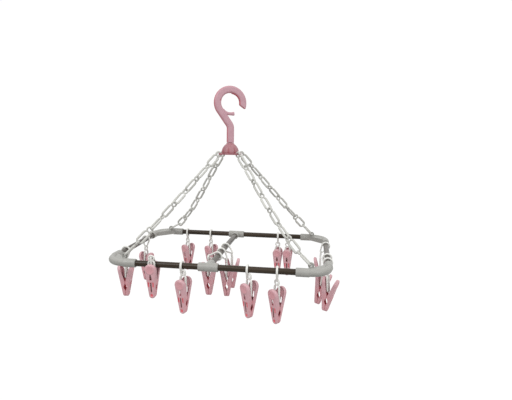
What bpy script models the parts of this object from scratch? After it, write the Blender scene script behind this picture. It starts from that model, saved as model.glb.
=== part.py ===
"""Rectangular clip drying hanger: a moulded hook that swivels in a domed hub,
four snap-link chains, a rectangular frame of thin metal tubes pushed into
plastic elbows and tees, and sixteen sprung clips hanging from the tubes.

Metres, +Z up. The origin is the point of the hook that rests on a rail: the
top of the hook's inner curve, on the swivel axis. The long side of the frame
runs along X and the front of the hanger faces -Y.
"""

import math

import bmesh
import bpy
from mathutils import Matrix, Vector

MM = 0.001
GAP = 0.3 * MM                  # clearance between neighbouring pieces

# Frame
FRAME_X = 400 * MM              # tube axis to tube axis along the long side
FRAME_Y = 280 * MM              # tube axis to tube axis across
FRAME_Z = -315 * MM             # height of the tube axes
TUBE_R = 5.5 * MM               # outer radius of the metal tube
TUBE_WALL = 0.8 * MM
TUBE_SIDES = 12
SOCKET_R = 7.8 * MM             # outer radius of a socket collar
SOCKET_BORE_R = TUBE_R + 0.35 * MM
SOCKET_DEPTH = 16 * MM
SOCKET_COLLAR = 24 * MM         # length of the thicker collar
ELBOW_R = 7.3 * MM              # outer radius of the elbow's bend
ELBOW_ARM = 57 * MM             # corner of the tube axes to the socket's mouth
ELBOW_BEND = 33 * MM            # radius of the bend's centre line
WEB_REACH = 39 * MM             # corner to the end of the web in the bend
WEB_HALF = 5.2 * MM             # half thickness of the web
LOOP_X = 169 * MM               # chain loop on the web, from the swivel axis
LOOP_Y = 129 * MM
LOOP_R = 4.0 * MM               # centre line radius of the loop
LOOP_WIRE = 1.5 * MM
LOOP_RISE = 10.0 * MM           # loop's centre above the tube axis
TEE_X = -10 * MM                # the tees and the centre tube from the middle
TEE_HALF = 18 * MM              # half length of a tee along the long side
TEE_BRANCH = 24 * MM            # tube axis to the mouth of the branch

# Hook
HOOK_R = 26 * MM                # centre line radius of the hook's curve
HOOK_BAR = 14 * MM              # width of the bar in the plane of the hook
HOOK_THICK = 11 * MM            # thickness across the plane of the hook
HOOK_CENTRE_X = -0.8 * MM       # centre of the curve from the swivel axis
HOOK_LEAVE = 216                # degrees round the curve where the neck begins
HOOK_TIP = -19                  # degrees round the curve of the free end
HOOK_YAW = 27                   # the hook is drawn turned this far in its hub
NECK_BEND = 16 * MM             # radius of the bend from neck to stem
STEM_END = -97.4 * MM           # shoulder that rests on the dome
PIN_R = 3.4 * MM
BARB_R = 5.4 * MM
BARB_TOP = -101.2 * MM
BARB_END = -107.5 * MM

# Hub
DOME_TOP = -97.7 * MM
DOME_BASE = -118.0 * MM
DOME_R = 17.6 * MM
DOME_TOP_R = 8.0 * MM
DOME_WALL = 2.4 * MM
DOME_FLUTES = 8
PLATE_R = 18.6 * MM
PLATE_TOP = -118.3 * MM
PLATE_THICK = 3.2 * MM
LUG_OUT = 21.5 * MM             # swivel axis to the hole of a chain lug
LUG_R = 5.3 * MM
LUG_HOLE = 3.6 * MM

# Snap links, a long eye with a small open ring at one end
WIRE = 1.35 * MM                # radius of the moulded wire
EYE_HALF = 4.85 * MM            # half width of the long eye's centre line
RING_R = 4.5 * MM               # centre line radius of the open ring
LINK_COUNT = 8
LINK_BITE = 0.3 * MM            # how far two linked wires press together
CLIP_EYE = 32.5 * MM            # centre line length of a clip link's eye

# Hanger ring round a tube
COLLAR_R = 8.1 * MM             # centre line radius of its round part
COLLAR_UP = -0.5 * MM           # centre of the round part from the tube axis
COLLAR_DROP = 17.95 * MM        # tube axis down to the wire at its foot
COLLAR_FOOT_R = 2.6 * MM

# Clips: one jaw carries the hanger, the other turns on it
JAW_LENGTH = 65 * MM
JAW_HEAD_R = 10.4 * MM
JAW_TIP_R = 5.4 * MM
JAW_TIP_X = 5.2 * MM            # middle of the clip to a jaw's outer face, at the tip
JAW_HEAD_X = 15.6 * MM          # and at the head
JAW_SKIN = 1.6 * MM
JAW_PIVOT = 31 * MM             # tip to the pivot
JAW_SPRING = 40 * MM            # tip to the spring bar
SPRING_R = 1.1 * MM


def clear_scene():
    for obj in list(bpy.data.objects):
        bpy.data.objects.remove(obj, do_unlink=True)
    for coll in list(bpy.data.collections):
        bpy.data.collections.remove(coll)


def new_collection(name):
    coll = bpy.data.collections.new(name)
    bpy.context.scene.collection.children.link(coll)
    return coll


def material(name, colour, roughness, metallic=0.0):
    mat = bpy.data.materials.new(name)
    mat.use_nodes = True
    shader = mat.node_tree.nodes["Principled BSDF"]
    shader.inputs["Base Color"].default_value = (*colour, 1.0)
    shader.inputs["Roughness"].default_value = roughness
    shader.inputs["Metallic"].default_value = metallic
    mat.diffuse_color = (*colour, 1.0)
    return mat


clear_scene()
PARTS = new_collection("clip_drying_hanger")
TOOLS = new_collection("cutters")

PINK = material("pink_plastic", (0.56, 0.29, 0.33), 0.42)
ROSE = material("rose_plastic", (0.50, 0.19, 0.22), 0.42)
WHITE = material("grey_white_plastic", (0.55, 0.56, 0.53), 0.45)
METAL = material("dark_tube_metal", (0.11, 0.09, 0.075), 0.28, 1.0)


def link_mesh(name, mesh, coll=TOOLS):
    obj = bpy.data.objects.new(name, mesh)
    coll.objects.link(obj)
    return obj


def from_bmesh(name, bm):
    bmesh.ops.recalc_face_normals(bm, faces=bm.faces)
    mesh = bpy.data.meshes.new(name)
    bm.to_mesh(mesh)
    bm.free()
    return link_mesh(name, mesh)


def baked(obj):
    """The object with its modifiers, as a plain mesh object in world space."""
    bpy.context.view_layer.update()
    graph = bpy.context.evaluated_depsgraph_get()
    mesh = bpy.data.meshes.new_from_object(obj.evaluated_get(graph), depsgraph=graph)
    mesh.transform(obj.matrix_world)
    out = link_mesh(obj.name + "_mesh", mesh)
    bpy.data.objects.remove(obj, do_unlink=True)
    bm = bmesh.new()
    bm.from_mesh(out.data)
    bmesh.ops.remove_doubles(bm, verts=bm.verts, dist=1e-6)
    bmesh.ops.recalc_face_normals(bm, faces=bm.faces)
    bm.to_mesh(out.data)
    bm.free()
    return out


def combine(target, other, operation):
    mod = target.modifiers.new(operation.lower(), "BOOLEAN")
    mod.operation = operation
    mod.solver = "EXACT"
    mod.object = other
    out = baked(target)
    bpy.data.objects.remove(other, do_unlink=True)
    return out


def union(target, *others):
    for other in others:
        target = combine(target, other, "UNION")
    return target


def cut(target, *others):
    for other in others:
        target = combine(target, other, "DIFFERENCE")
    return target


def finish(obj, name, mat, angle=35.0):
    """Names a finished piece, gives it its material and puts it in the parts."""
    TOOLS.objects.unlink(obj)
    PARTS.objects.link(obj)
    obj.name = name
    obj.data.name = name
    obj.data.materials.clear()
    obj.data.materials.append(mat)
    obj.data.shade_smooth()
    obj.data.set_sharp_from_angle(angle=math.radians(angle))
    return obj


def set_origin(obj, point):
    """Moves the object's origin to a point without moving its shape."""
    obj.data.transform(Matrix.Translation(-Vector(point)))
    obj.location = Vector(point)
    return obj


def cylinder(radius, start, end, sides=12, radius_end=None, roll=0.0):
    start, end = Vector(start), Vector(end)
    axis = end - start
    bm = bmesh.new()
    bmesh.ops.create_cone(
        bm, cap_ends=True, segments=sides, radius1=radius,
        radius2=radius if radius_end is None else radius_end, depth=axis.length,
        matrix=Matrix.Rotation(roll, 4, "Z"))
    turn = Vector((0, 0, 1)).rotation_difference(axis).to_matrix().to_4x4()
    bm.transform(Matrix.Translation((start + end) / 2) @ turn)
    return from_bmesh("cylinder", bm)


def box(size, centre):
    bm = bmesh.new()
    bmesh.ops.create_cube(bm, size=1.0)
    bm.transform(Matrix.Translation(centre) @ Matrix.Diagonal((*size, 1.0)))
    return from_bmesh("box", bm)


def prism(outline, half):
    """An upright prism over a level outline, half a thickness each way."""
    bm = bmesh.new()
    low = [bm.verts.new(p - Vector((0, 0, half))) for p in outline]
    high = [bm.verts.new(p + Vector((0, 0, half))) for p in outline]
    for k in range(len(outline)):
        m = (k + 1) % len(outline)
        bm.faces.new((low[k], low[m], high[m], high[k]))
    bm.faces.new(low)
    bm.faces.new(high)
    return from_bmesh("prism", bm)


def wire(points, radius, closed, resolution=0):
    """A round wire along points, as a bevelled curve made into a mesh."""
    curve = bpy.data.curves.new("wire", "CURVE")
    curve.dimensions = "3D"
    curve.bevel_depth = radius
    curve.bevel_resolution = resolution
    curve.use_fill_caps = not closed
    spline = curve.splines.new("POLY")
    spline.points.add(len(points) - 1)
    for point, place in zip(spline.points, points):
        point.co = (*place, 1.0)
    spline.use_cyclic_u = closed
    obj = bpy.data.objects.new("wire", curve)
    TOOLS.objects.link(obj)
    return baked(obj)


def arc(centre, radius, start, end, steps):
    """Points of an arc in the XZ plane, angles in degrees from +X towards +Z."""
    out = []
    for i in range(steps + 1):
        a = math.radians(start + (end - start) * i / steps)
        out.append(Vector((centre[0] + radius * math.cos(a), 0.0,
                           centre[1] + radius * math.sin(a))))
    return out


def moved(obj, matrix):
    obj.data.transform(matrix)
    return obj


def copy_of(obj):
    return link_mesh(obj.name, obj.data.copy())


# --- Hook -------------------------------------------------------------------

def hook_path():
    """Centre line of the hook from its free end to the stem's shoulder."""
    centre = (HOOK_CENTRE_X, -(HOOK_R - HOOK_BAR / 2))
    points = arc(centre, HOOK_R, HOOK_TIP, HOOK_LEAVE, 16)
    leave = math.radians(HOOK_LEAVE)
    direction = Vector((-math.sin(leave), 0.0, math.cos(leave)))
    start = points[-1]
    reach = -start.x / direction.x
    corner = start + direction * reach
    turn = math.acos(max(-1.0, min(1.0, direction.dot(Vector((0, 0, -1))))))
    trim = NECK_BEND * math.tan(turn / 2)
    bend_centre = corner - direction * trim
    side = Vector((direction.z, 0.0, -direction.x))
    centre_point = bend_centre + side * NECK_BEND
    first = math.degrees(math.atan2(-side.z, -side.x))
    points += arc((centre_point.x, centre_point.z), NECK_BEND, first,
                  first - math.degrees(turn), 4)
    points.append(Vector((0.0, 0.0, STEM_END)))
    return points


def rounded_section(width, thick, corner, steps=2):
    """Corner points of a rounded rectangle, as (in plane, across) pairs."""
    out = []
    for quarter in range(4):
        for i in range(steps + 1):
            a = math.radians(90 * quarter + 90 * i / steps)
            cx = (width / 2 - corner) * (1 if quarter in (0, 3) else -1)
            cy = (thick / 2 - corner) * (1 if quarter in (0, 1) else -1)
            out.append((cx + corner * math.cos(a), cy + corner * math.sin(a)))
    return out


def planar_sweep(points, section, scales):
    """Lofts a section along a path in the XZ plane; scales sizes each station."""
    bm = bmesh.new()
    rings = []
    for i, point in enumerate(points):
        before = points[max(i - 1, 0)]
        after = points[min(i + 1, len(points) - 1)]
        along = (after - before).normalized()
        side = Vector((along.z, 0.0, -along.x))
        if i in (0, len(points) - 1):
            mitre = 1.0
        else:
            mitre = 1.0 / max(0.5, (point - before).normalized().dot(along))
        rings.append([bm.verts.new(point + side * (u * scales[i] * mitre)
                                   + Vector((0, v * scales[i], 0)))
                      for u, v in section])
    n = len(section)
    for a, b in zip(rings, rings[1:]):
        for k in range(n):
            bm.faces.new((a[k], a[(k + 1) % n], b[(k + 1) % n], b[k]))
    bm.faces.new(rings[0])
    bm.faces.new(list(reversed(rings[-1])))
    return from_bmesh("sweep", bm)


def build_hook():
    path = hook_path()
    first = path[0] - (path[1] - path[0]).normalized() * 2.6 * MM
    path = [first] + path
    scales = [0.62] + [1.0] * (len(path) - 1)
    body = planar_sweep(path, rounded_section(HOOK_BAR, HOOK_THICK, 3.6 * MM), scales)
    centre = (HOOK_CENTRE_X, -(HOOK_R - HOOK_BAR / 2))
    inner = HOOK_R - HOOK_BAR / 2
    # rib on the inside of the free arm
    rib = planar_sweep(arc(centre, inner + 0.4 * MM, -12, 78, 6),
                       rounded_section(5.2 * MM, 5.0 * MM, 1.2 * MM, 1), [1.0] * 7)
    # catch tongue that carries the inner curve on below the mouth
    tongue = arc(centre, inner + 2.4 * MM, 222, 270, 3)
    tongue += [Vector((centre[0] + 4.2 * MM, 0, centre[1] - 21.4 * MM)),
               Vector((centre[0] + 7.8 * MM, 0, centre[1] - 21.0 * MM))]
    tongue = planar_sweep(tongue, rounded_section(5.8 * MM, 8.0 * MM, 1.6 * MM, 1),
                          [1.15, 1.05, 1.0, 1.0, 1.15, 1.35])
    pin = cylinder(PIN_R, (0, 0, STEM_END + 3 * MM), (0, 0, BARB_END + 2 * MM), 12)
    barb = cylinder(PIN_R - 0.4 * MM, (0, 0, BARB_END), (0, 0, BARB_TOP), 12, BARB_R)
    hook = union(body, rib, tongue, pin, barb)
    moved(hook, Matrix.Rotation(math.radians(HOOK_YAW), 4, "Z"))
    return finish(hook, "hook", PINK)


# --- Hub --------------------------------------------------------------------

def screw(profile, sides):
    """Turns an outline of (radius, z) points round Z."""
    bm = bmesh.new()
    verts = [bm.verts.new((r, 0.0, z)) for r, z in profile]
    for a, b in zip(verts, verts[1:] + verts[:1]):
        bm.edges.new((a, b))
    mesh = bpy.data.meshes.new("profile")
    bm.to_mesh(mesh)
    bm.free()
    obj = link_mesh("profile", mesh)
    mod = obj.modifiers.new("turn", "SCREW")
    mod.axis = "Z"
    mod.steps = sides
    mod.render_steps = sides
    mod.use_merge_vertices = True
    mod.merge_threshold = 0.00001
    return baked(obj)


def build_dome():
    height = DOME_TOP - DOME_BASE
    outer = [(DOME_TOP_R, DOME_TOP)]
    for t in (0.12, 0.24, 0.40, 0.60, 0.80, 1.0):
        outer.append((DOME_R * math.sqrt(1 - (1 - t) ** 2), DOME_TOP - height * t))
    inner_r = DOME_R - DOME_WALL
    roof = BARB_TOP + GAP
    profile = outer + [(inner_r, DOME_BASE), (inner_r - 0.6 * MM, DOME_BASE + 6 * MM),
                       (8.0 * MM, roof), (PIN_R + 0.5 * MM, roof),
                       (PIN_R + 0.5 * MM, DOME_TOP)]
    dome = screw(profile, DOME_FLUTES * 3)
    # shallow flutes round the lower half of the outside
    for vert in dome.data.vertices:
        r = math.hypot(vert.co.x, vert.co.y)
        low = (DOME_TOP - vert.co.z) / height
        if r > inner_r + 0.2 * MM and low > 0.3:
            phase = math.atan2(vert.co.y, vert.co.x) * DOME_FLUTES
            dip = 1.0 - 0.06 * min(1.0, (low - 0.3) / 0.4) * (0.5 + 0.5 * math.cos(phase))
            vert.co.x *= dip
            vert.co.y *= dip
    return finish(dome, "hub_dome", ROSE)


def build_plate():
    low = PLATE_TOP - PLATE_THICK
    plate = cylinder(PLATE_R, (0, 0, low), (0, 0, PLATE_TOP), 20)
    lugs, holes = [], []
    for quarter in range(4):
        a = math.radians(45 + 90 * quarter)
        x, y = LUG_OUT * math.cos(a), LUG_OUT * math.sin(a)
        lugs.append(cylinder(LUG_R, (x, y, low), (x, y, PLATE_TOP), 10, roll=a))
        holes.append(cylinder(LUG_HOLE, (x, y, low - MM), (x, y, PLATE_TOP + MM), 8, roll=a))
    plate = cut(union(plate, *lugs), *holes)
    return finish(plate, "hub_plate", ROSE)


# --- Snap links and chains ----------------------------------------------------

def link_points(eye_length):
    """The wire of a snap link hung from its open ring, in the XZ plane, with
    the top of the ring at the origin: the ring's points and the eye's."""
    ring_centre = (EYE_HALF - RING_R, -RING_R)
    ring = arc(ring_centre, RING_R, -78, 210, 5)
    top = -2 * RING_R
    bottom = top - eye_length
    eye = arc((0, top - EYE_HALF), EYE_HALF, 0, 180, 2)
    eye += arc((0, bottom + EYE_HALF), EYE_HALF, 180, 360, 4)
    return ring, eye


def snap_link(eye_length):
    ring, eye = link_points(eye_length)
    return union(wire(eye, WIRE, True), wire(ring, WIRE, False))


def chain_ends(side_x, side_y):
    """Centres of the top wire in the lug and of the bottom wire in the loop."""
    hole = Vector((side_x * LUG_OUT * math.sqrt(0.5), side_y * LUG_OUT * math.sqrt(0.5),
                   PLATE_TOP - PLATE_THICK / 2))
    loop = Vector((side_x * LOOP_X, side_y * LOOP_Y, FRAME_Z + LOOP_RISE))
    down = (loop - hole).normalized()
    flat = Vector((down.x, down.y, 0)).normalized()
    # the open ring bears on the top inner edge of the lug's rim
    edge = hole + flat * LUG_HOLE + Vector((0, 0, PLATE_THICK / 2))
    upper = edge + down * (RING_R - WIRE - 1.2 * GAP) - down * RING_R
    # the eye leans inwards, so its end sits a little outside the loop's plane
    lower = loop - Vector((down.x, 0, down.z)) * 0.3 * MM
    return upper, lower + Vector((0, side_y * 0.8 * MM, 0))


def build_chain(name, side_x, side_y):
    upper, lower = chain_ends(side_x, side_y)
    span = (lower - upper).length
    step = 2 * WIRE - LINK_BITE
    link_length = (span + (LINK_COUNT - 1) * step) / LINK_COUNT
    eye_length = link_length - 2 * RING_R
    down = (lower - upper).normalized()
    across = down.cross(Vector((0, 0, 1))).normalized()
    flat = across.cross(-down).normalized()
    base = Matrix((flat, across, -down)).transposed().to_4x4()
    # the last eye's wire runs as nearly through the elbow's loop as it can
    through = Vector((0, 1, 0)) - down * down.y
    roll = math.degrees(math.atan2(through.dot(across), through.dot(flat)))
    full = 90 * (LINK_COUNT - 1)
    extra = (roll - full + 90) % 180 - 90
    master = snap_link(eye_length)
    chain = None
    for i in range(LINK_COUNT):
        place = Matrix.Translation(upper + down * (i * (link_length - step)))
        turn = math.radians((full + extra) * i / (LINK_COUNT - 1))
        link = moved(copy_of(master), place @ base @ Matrix.Rotation(turn, 4, "Z"))
        chain = link if chain is None else union(chain, link)
    bpy.data.objects.remove(master, do_unlink=True)
    return finish(chain, name, WHITE)


# --- Frame --------------------------------------------------------------------

def build_elbow(name, side_x, side_y):
    corner = Vector((side_x * FRAME_X / 2, side_y * FRAME_Y / 2, FRAME_Z))
    to_x = Vector((-side_x, 0, 0))
    to_y = Vector((0, -side_y, 0))
    points = [corner + to_x * (ELBOW_ARM - 2 * MM)]
    for i in range(6):
        a = math.radians(90 * i / 5)
        points.append(corner + to_x * (ELBOW_BEND * (1 - math.sin(a)))
                      + to_y * (ELBOW_BEND * (1 - math.cos(a))))
    points.append(corner + to_y * (ELBOW_ARM - 2 * MM))
    body = wire(points, ELBOW_R, False, 3)
    collars, bores = [], []
    for way in (to_x, to_y):
        mouth = corner + way * ELBOW_ARM
        collars.append(cylinder(SOCKET_R, mouth, mouth - way * SOCKET_COLLAR, TUBE_SIDES))
        bores.append(cylinder(SOCKET_BORE_R, mouth + way * MM,
                              mouth - way * SOCKET_DEPTH, TUBE_SIDES))
    web = prism([corner + to_x * u + to_y * v
                 for u, v in ((WEB_REACH, 6 * MM), (6 * MM, WEB_REACH), (9.7 * MM, 9.7 * MM))],
                WEB_HALF)
    loop_centre = (side_x * LOOP_X, FRAME_Z + LOOP_RISE)
    loop = [p + Vector((0, side_y * LOOP_Y, 0))
            for p in arc(loop_centre, LOOP_R, 0, 324, 9)]
    elbow = cut(union(body, *collars, web, wire(loop, LOOP_WIRE, True)), *bores)
    return finish(elbow, name, WHITE)


def build_tee(name, side_y):
    y = side_y * FRAME_Y / 2
    inward = Vector((0, -side_y, 0))
    run = cylinder(SOCKET_R, (TEE_X - TEE_HALF, y, FRAME_Z), (TEE_X + TEE_HALF, y, FRAME_Z),
                   TUBE_SIDES)
    centre = Vector((TEE_X, y, FRAME_Z))
    mouth = centre + inward * TEE_BRANCH
    branch = cylinder(SOCKET_R - 0.2 * MM, centre, mouth, TUBE_SIDES)
    bores = [cylinder(SOCKET_BORE_R, (TEE_X + s * (TEE_HALF + MM), y, FRAME_Z),
                      (TEE_X + s * 2.5 * MM, y, FRAME_Z), TUBE_SIDES) for s in (-1, 1)]
    bores.append(cylinder(SOCKET_BORE_R, mouth + inward * MM,
                          centre + inward * 9.5 * MM, TUBE_SIDES))
    return finish(cut(union(run, branch), *bores), name, WHITE)


def build_tube(name, start, end):
    """An open thin-walled tube between two points on its axis."""
    start, end = Vector(start), Vector(end)
    length = (end - start).length
    inner = TUBE_R - TUBE_WALL
    tube = screw([(TUBE_R, length), (TUBE_R, 0.0), (inner, 0.0), (inner, length)],
                 TUBE_SIDES)
    turn = Vector((0, 0, 1)).rotation_difference(end - start).to_matrix().to_4x4()
    moved(tube, Matrix.Translation(start) @ turn)
    return finish(tube, name, METAL)


def build_frame():
    for front, side_y in (("front", -1), ("back", 1)):
        for left, side_x in (("left", -1), ("right", 1)):
            build_elbow(f"elbow_{front}_{left}", side_x, side_y)
            x0 = TEE_X + side_x * (TEE_HALF - SOCKET_DEPTH + 1.5 * MM)
            x1 = side_x * (FRAME_X / 2 - ELBOW_ARM + SOCKET_DEPTH - MM)
            y = side_y * FRAME_Y / 2
            build_tube(f"tube_{front}_{left}", (x0, y, FRAME_Z), (x1, y, FRAME_Z))
        build_tee(f"tee_{front}", side_y)
    reach = FRAME_Y / 2 - ELBOW_ARM + SOCKET_DEPTH - MM
    for left, side_x in (("left", -1), ("right", 1)):
        x = side_x * FRAME_X / 2
        build_tube(f"tube_side_{left}", (x, -reach, FRAME_Z), (x, reach, FRAME_Z))
    reach = FRAME_Y / 2 - 10.5 * MM
    build_tube("tube_centre", (TEE_X, -reach, FRAME_Z), (TEE_X, reach, FRAME_Z))


# --- Clips --------------------------------------------------------------------

def jaw_outer(s):
    return JAW_TIP_X + (JAW_HEAD_X - JAW_TIP_X) * s / JAW_LENGTH


def jaw_inner(s):
    """Middle of the clip to the edge of a jaw's side wall, by height from the
    tip: closed tips, a gap for the line, the pivot, and the open handles."""
    knots = [(0, 0.2), (12, 0.2), (20, 3.2), (28.5, 0.3), (31, 0.3), (39, 3.0),
             (65, 9.4)]
    h = s / MM
    for (h0, x0), (h1, x1) in zip(knots, knots[1:]):
        if h <= h1:
            return (x0 + (x1 - x0) * (h - h0) / (h1 - h0)) * MM
    return knots[-1][1] * MM


def jaw_outline(inset):
    """Outline of a jaw's face as (across, height) points, set in by inset."""
    tip_r, head_r = JAW_TIP_R, JAW_HEAD_R
    head_c = JAW_LENGTH - head_r
    slope = math.asin((head_r - tip_r) / (head_c - tip_r))
    right = []
    for deg in (-90, -45):
        a = math.radians(deg)
        right.append(((tip_r - inset) * math.cos(a), tip_r + (tip_r - inset) * math.sin(a)))
    lean = -slope
    p0 = ((tip_r - inset) * math.cos(lean), tip_r + (tip_r - inset) * math.sin(lean))
    p1 = ((head_r - inset) * math.cos(lean), head_c + (head_r - inset) * math.sin(lean))
    stations = [p0[1], 12 * MM, 20 * MM, 28.5 * MM, 31 * MM, 39 * MM]
    for s in stations:
        t = (s - p0[1]) / (p1[1] - p0[1])
        right.append((p0[0] + (p1[0] - p0[0]) * t, s))
    for deg in (-math.degrees(slope), 45, 90):
        a = math.radians(deg)
        right.append(((head_r - inset) * math.cos(a), head_c + (head_r - inset) * math.sin(a)))
    left = [(-w, s) for w, s in reversed(right[1:-1])]
    return right + left


def jaw(side):
    """A channel-shaped jaw on the side of X given, standing on its tip at the
    origin, with a window above the pivot and a slot below it."""
    outer = jaw_outline(0.0)
    inner = jaw_outline(1.5 * MM)
    bm = bmesh.new()
    rings = [
        [bm.verts.new((side * jaw_outer(s), w, s)) for w, s in outer],
        [bm.verts.new((side * jaw_inner(s), w, s)) for w, s in outer],
        [bm.verts.new((side * jaw_inner(s), w, s)) for w, s in inner],
        [bm.verts.new((side * (jaw_outer(s) - JAW_SKIN), w, s)) for w, s in inner],
    ]
    n = len(outer)
    for a, b in zip(rings, rings[1:]):
        for k in range(n):
            bm.faces.new((a[k], a[(k + 1) % n], b[(k + 1) % n], b[k]))
    bm.faces.new(rings[0])
    bm.faces.new(rings[3])
    shell = from_bmesh("jaw", bm)
    slot = [(-0.9, 12), (0.9, 12), (0.9, 31), (1.9, 33.5), (1.9, 43), (-1.9, 43),
            (-1.9, 33.5), (-0.9, 31)]
    bm = bmesh.new()
    far = 25 * MM * side
    near = 2.5 * MM * side
    a = [bm.verts.new((far, w * MM, s * MM)) for w, s in slot]
    b = [bm.verts.new((near, w * MM, s * MM)) for w, s in slot]
    for k in range(len(slot)):
        m = (k + 1) % len(slot)
        bm.faces.new((a[k], a[m], b[m], b[k]))
    bm.faces.new(a)
    bm.faces.new(b)
    return cut(shell, from_bmesh("slot", bm))


def hanger_ring():
    """The drop-shaped ring round a tube along Y, its plane in XZ."""
    top = (0.0, COLLAR_UP)
    foot = (0.0, -COLLAR_DROP + COLLAR_FOOT_R)
    lean = math.degrees(math.asin((COLLAR_R - COLLAR_FOOT_R) / (top[1] - foot[1])))
    points = arc(top, COLLAR_R, -lean, 180 + lean, 6)
    points += arc(foot, COLLAR_FOOT_R, 180 + lean, 360 - lean, 2)
    return wire(points, WIRE, True)


# Where each clip hangs: its tube ("x" along X, "y" along Y), the ring's place,
# the yaw of the clip and the ring's swing round the tube; where the link's top
# wire sits from the ring's foot (across the tube, along it and up); the link's
# lean across and along the tube, the lean of the jaws across it, and the link's
# place on the spring bar. Lengths in mm, angles in degrees.
REST = (0, 0, 2.4)
HIGH = (-5.6, 4.0, 11.8)
CLIPS = [
    ("clip_front_1", "x", -111, -140, 270, 150, REST, -3.6, 0, 0, 3.7),
    ("clip_front_2", "x", -58, -140, 76, 0, HIGH, 0, 0, 0, -1),
    ("clip_front_3", "x", 59.5, -140, 54, 0, HIGH, 0, 0, 0, -1),
    ("clip_front_4", "x", 111.5, -140, 53, 0, REST, 0, 0, 0, -1),
    ("clip_back_1", "x", -131, 140, 60, 0, REST, 0, 0, 0, -1),
    ("clip_back_2", "x", -73, 140, 55, 0, REST, 0, 0, 0, -1),
    ("clip_back_3", "x", 90, 140, 86, 0, REST, 0, 0, 0, -1),
    ("clip_back_4", "x", 113.5, 140, 84, 0, REST, 0, 0, 0, -1),
    ("clip_left_1", "y", -200, -57, 185, 0, REST, 0, 0, 0, -1),
    ("clip_left_2", "y", -200, 46, -18, 0, REST, 0, 0, 0, -1),
    ("clip_centre_1", "y", -10, -66, 0, 86, REST, 0, 0, 0, -1),
    ("clip_centre_2", "y", -10, -33, 8, -38, REST, 0, 0, 0, -1),
    ("clip_centre_3", "y", -10, 8, 4, -52, REST, 0, 0, 0, -1),
    ("clip_right_1", "y", 200, -67, -18, 0, REST, -4, 0, 9, -1),
    ("clip_right_2", "y", 200, -36, -16, 12, REST, 9, 0, 11, -1),
    ("clip_right_3", "y", 200, 62, 0, 36, REST, 0, 0, 0, -1),
]
BAR_DROP = -2 * RING_R - CLIP_EYE + WIRE + SPRING_R - LINK_BITE


def turn(degrees, axis):
    return Matrix.Rotation(math.radians(degrees), 4, axis)


def clip_places():
    """Each clip's name, tube, anchor on the tube's axis, and the frames of its
    ring, of its link (origin at the link's top wire) and of its jaws (origin at
    the tips, +X towards the free jaw)."""
    for name, along, x, y, yaw, swing, hold, lean, slant, tilt, seat in CLIPS:
        across = turn(90 if along == "x" else 0, "Z")
        spin = turn(yaw - (90 if along == "x" else 0), "Z")
        anchor = Vector((x * MM, y * MM, FRAME_Z))
        ring = Matrix.Translation(anchor) @ across @ turn(swing, "Y")
        foot = ring @ Vector((0, 0, -COLLAR_DROP))
        side = -1 if along == "x" else 1
        top = foot + across.to_3x3() @ Vector((-side * hold[0], side * hold[1], hold[2])) * MM
        link = (Matrix.Translation(top) @ across @ turn(lean, "Y")
                @ turn(side * slant, "X") @ spin)
        bar = link @ Vector((0, 0, BAR_DROP))
        jaws = (Matrix.Translation(bar) @ across @ turn(tilt, "Y") @ spin
                @ Matrix.Translation((-seat * MM, 0, -JAW_SPRING)))
        yield name, along, anchor, ring, link, jaws


def build_clips():
    # the jaw that carries the spring bar
    reach = jaw_outer(JAW_SPRING)
    carrier = union(
        jaw(-1),
        box((4.0 * MM, 7.6 * MM, 2.2 * MM), (-(reach - 2.6 * MM), 0, JAW_SPRING)),
        cylinder(SPRING_R, (-(reach - 0.6 * MM), 0, JAW_SPRING), (5.8 * MM, 0, JAW_SPRING), 6))
    mover = jaw(1)
    eye = moved(snap_link(CLIP_EYE), turn(90, "Z"))
    collar = hanger_ring()
    for name, along, anchor, ring, link, jaws in clip_places():
        body = union(moved(copy_of(carrier), jaws), moved(copy_of(eye), link),
                     moved(copy_of(collar), ring))
        finish(body, name + "_carrier_jaw", PINK)
        set_origin(body, anchor)
        swing = moved(copy_of(mover), jaws)
        finish(swing, name + "_free_jaw", PINK)
        set_origin(swing, jaws @ Vector((0, 0, JAW_PIVOT)))
    for spare in (carrier, mover, eye, collar):
        bpy.data.objects.remove(spare, do_unlink=True)


build_hook()
build_dome()
build_plate()
for front, side_y in (("front", -1), ("back", 1)):
    for left, side_x in (("left", -1), ("right", 1)):
        build_chain(f"chain_{front}_{left}", side_x, side_y)
build_frame()
build_clips()
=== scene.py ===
"""Looks for the clip drying hanger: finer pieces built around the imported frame.

Shapes are worked out in millimetres in the frame's own axes and scaled to
metres when a piece is made. Every piece sits where the CAD node it stands for
sits, and rides on that node's body.
"""

import math

import bmesh
import bpy
import numpy as np
from mathutils import Matrix, Vector
from mathutils.geometry import delaunay_2d_cdt


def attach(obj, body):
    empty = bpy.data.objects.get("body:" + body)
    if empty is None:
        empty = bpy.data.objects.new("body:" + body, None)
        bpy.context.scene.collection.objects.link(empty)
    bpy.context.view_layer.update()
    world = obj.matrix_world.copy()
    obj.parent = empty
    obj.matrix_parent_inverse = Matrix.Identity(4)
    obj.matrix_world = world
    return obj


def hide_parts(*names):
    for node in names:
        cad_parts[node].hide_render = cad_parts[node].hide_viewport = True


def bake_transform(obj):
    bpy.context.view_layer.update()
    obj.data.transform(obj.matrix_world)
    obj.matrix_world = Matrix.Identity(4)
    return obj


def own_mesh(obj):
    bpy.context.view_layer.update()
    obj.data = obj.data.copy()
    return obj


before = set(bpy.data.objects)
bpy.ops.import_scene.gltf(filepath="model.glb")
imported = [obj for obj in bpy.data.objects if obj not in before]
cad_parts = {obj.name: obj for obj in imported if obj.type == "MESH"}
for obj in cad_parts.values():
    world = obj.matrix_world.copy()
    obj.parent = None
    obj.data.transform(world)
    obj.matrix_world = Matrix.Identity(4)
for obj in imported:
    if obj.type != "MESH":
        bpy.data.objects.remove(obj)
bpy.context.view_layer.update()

# Sizes in millimetres, as in the CAD
FRAME_X, FRAME_Y, FRAME_Z = 400.0, 280.0, -315.0
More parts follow.
